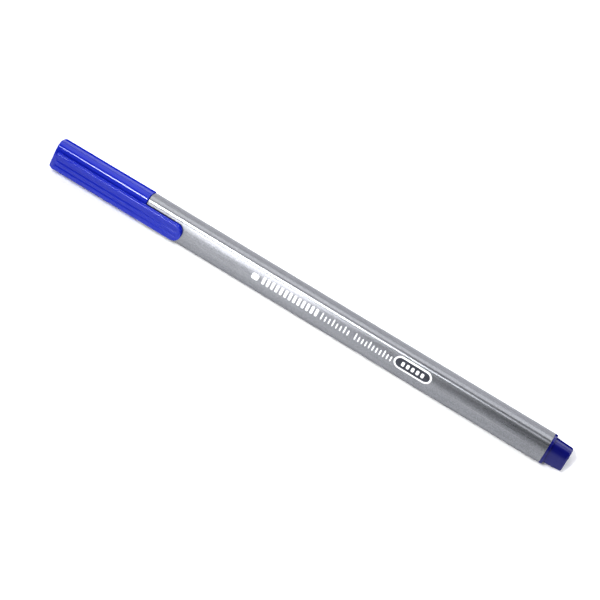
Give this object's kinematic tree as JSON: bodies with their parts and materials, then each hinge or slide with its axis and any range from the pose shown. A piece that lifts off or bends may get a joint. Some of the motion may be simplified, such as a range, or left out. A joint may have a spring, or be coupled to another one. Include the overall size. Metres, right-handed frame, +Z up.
{
  "type": "fibre-tip fineliner pen",
  "caption": "Capped fibre-tip fineliner pen with a rounded triangular barrel, a pull-off cap with a flexible clip, and a stepped end plug.",
  "frame": {"origin": "on the surface the pen lies on, at the centre of its footprint", "axes": "+X along the pen from the cap to the tail, +Z up, the clip on the -Y side"},
  "size_m": [0.16, 0.01, 0.0088],
  "materials": {
    "barrel_plastic": "silver-grey moulded polypropylene, satin gloss",
    "plug_plastic": "navy moulded polypropylene, satin gloss",
    "cap_plastic": "royal blue moulded polypropylene, satin gloss",
    "inner_cap_plastic": "natural white moulded polyethylene",
    "section_plastic": "grey moulded plastic, satin gloss",
    "tip_steel": "drawn stainless tube, bright",
    "nib_plastic": "extruded acetal capillary rod, ink-stained",
    "reservoir_fibre": "bonded polyester fibre soaked with ink",
    "reservoir_film": "clear wrapping film"
  },
  "bodies": {
    "pen_body": {"barrel": "barrel_plastic", "end_plug": "plug_plastic", "front_section": "section_plastic", "tip_sleeve": "tip_steel", "nib": "nib_plastic", "ink_reservoir": "reservoir_fibre", "reservoir_film": "reservoir_film"},
    "cap_body": {"cap": "cap_plastic", "inner_cap": "inner_cap_plastic"},
    "clip_arm": {"clip": "cap_plastic"}
  },
  "joints": [
    {"name": "cap_pull", "type": "slide", "parent": "pen_body", "child": "cap_body", "axis": [-1, 0, 0], "range_m": [0, 0.045]},
    {"name": "clip_flex", "type": "hinge", "parent": "cap_body", "child": "clip_arm", "pos_m": [-0.0792, -0.00276, 0.00559], "axis": [0, -0.5, -0.866], "range_deg": [0, 3], "stiffness_Nm_per_rad": 0.02}
  ]
}
